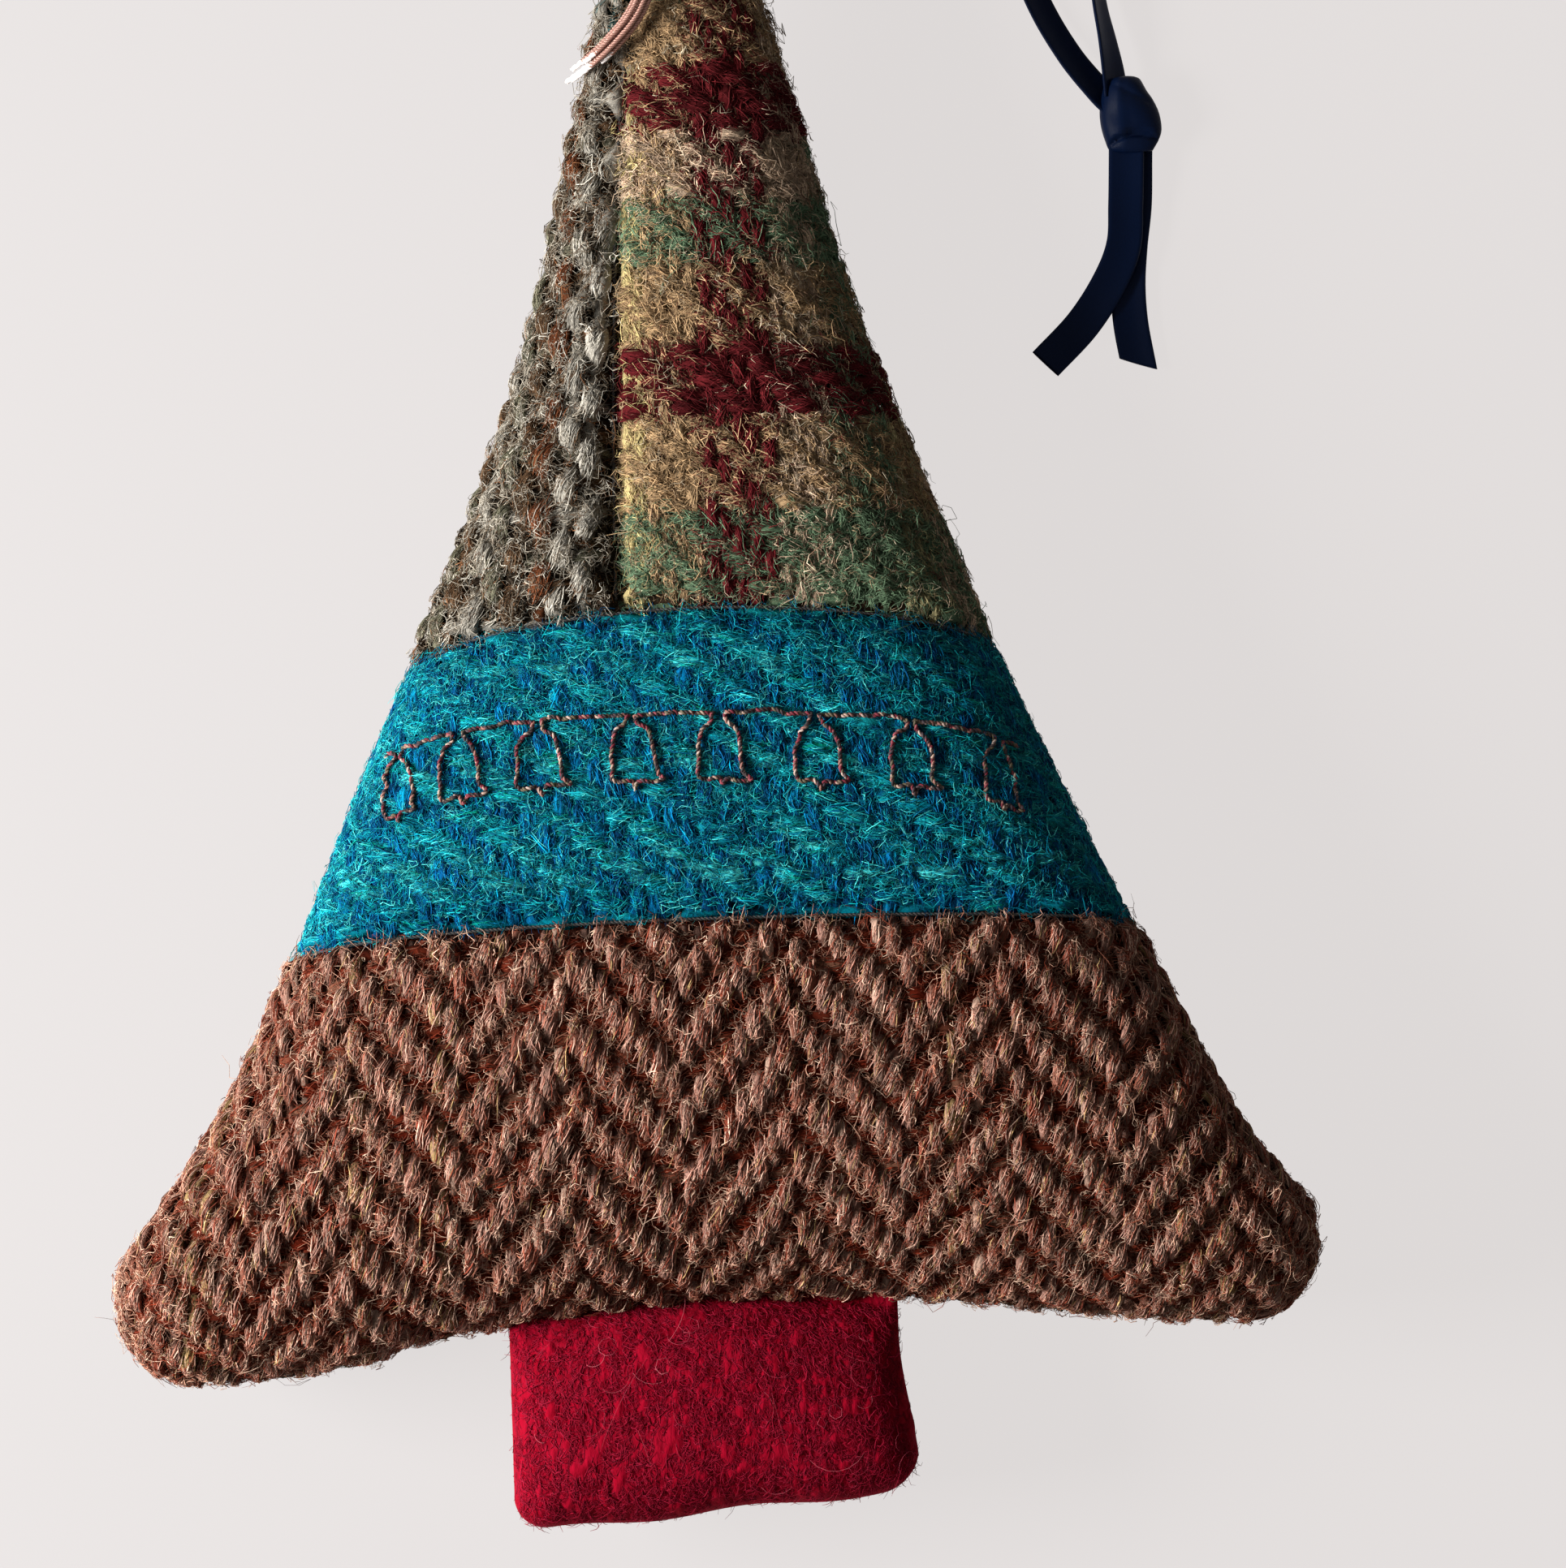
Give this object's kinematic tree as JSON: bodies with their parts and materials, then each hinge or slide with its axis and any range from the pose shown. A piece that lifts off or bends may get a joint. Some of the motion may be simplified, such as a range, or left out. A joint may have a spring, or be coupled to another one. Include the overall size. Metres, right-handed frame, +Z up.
{
  "type": "fabric christmas tree ornament",
  "caption": "Small stuffed patchwork christmas tree of tweed cloth with a felted trunk, a stitched bell garland, metallic cord ends and a knotted ribbon hanging loop.",
  "frame": {"origin": "on the surface that the ornament lies on, under the middle of the cloth tree with its trunk and the foot of its ribbon", "axes": "+X across the tree to its right, +Y along the tree from the trunk to the apex, +Z up out of its front"},
  "size_m": [0.1, 0.1751, 0.0236],
  "materials": {
    "grey_tweed": "woollen twill, grey with brown and rust flecks",
    "tan_plaid_tweed": "woollen plaid, tan with maroon and green stripes",
    "teal_tweed": "soft woollen twill, turquoise and blue",
    "brown_tweed": "woollen herringbone, brown",
    "olive_tweed": "plain woollen tweed, olive brown",
    "wadding": "loose white fibre",
    "grey_thread": "sewing thread",
    "variegated_thread": "variegated embroidery thread, cream to dark red",
    "closing_thread": "sewing thread",
    "crimson_felted_wool": "felted wool, crimson",
    "crimson_back_wool": "felted wool, crimson",
    "red_thread": "sewing thread",
    "navy_satin": "satin ribbon, dark navy",
    "rose_gold_cord": "metallic rose-gold cord"
  },
  "bodies": {
    "tree": {"front_strip_patch": "grey_tweed", "front_plaid_patch": "tan_plaid_tweed", "front_teal_band": "teal_tweed", "front_herringbone_band": "brown_tweed", "back_panel": "olive_tweed", "body_filling": "wadding", "upper_seam_thread": "grey_thread", "lower_seam_thread": "grey_thread", "strip_seam_thread": "grey_thread", "edge_seam_thread": "grey_thread", "garland_stitching": "variegated_thread", "closing_stitches": "closing_thread", "ribbon_anchor": "navy_satin", "copper_cord_binding": "rose_gold_cord", "copper_cord_tail_1": "rose_gold_cord", "copper_cord_tail_2": "rose_gold_cord", "copper_cord_tail_3": "rose_gold_cord", "copper_cord_tail_4": "rose_gold_cord", "copper_cord_tail_5": "rose_gold_cord"},
    "trunk": {"trunk_front_panel": "crimson_felted_wool", "trunk_back_panel": "crimson_back_wool", "trunk_filling": "wadding", "trunk_seam_thread": "red_thread"},
    "loop": {"ribbon_strand_left": "navy_satin", "ribbon_strand_right": "navy_satin", "ribbon_knot": "navy_satin", "ribbon_tail_left": "navy_satin", "ribbon_tail_right": "navy_satin"}
  },
  "joints": [
    {"name": "trunk_flex", "type": "hinge", "parent": "tree", "child": "trunk", "pos_m": [0, -0.0556, 0.01059], "axis": [1, 0, 0], "range_deg": [-15, 15], "stiffness_Nm_per_rad": 0.03},
    {"name": "loop_flip", "type": "hinge", "parent": "tree", "child": "loop", "pos_m": [0, 0.0729, 0.01059], "axis": [0, -1, 0], "range_deg": [0, 200]}
  ]
}
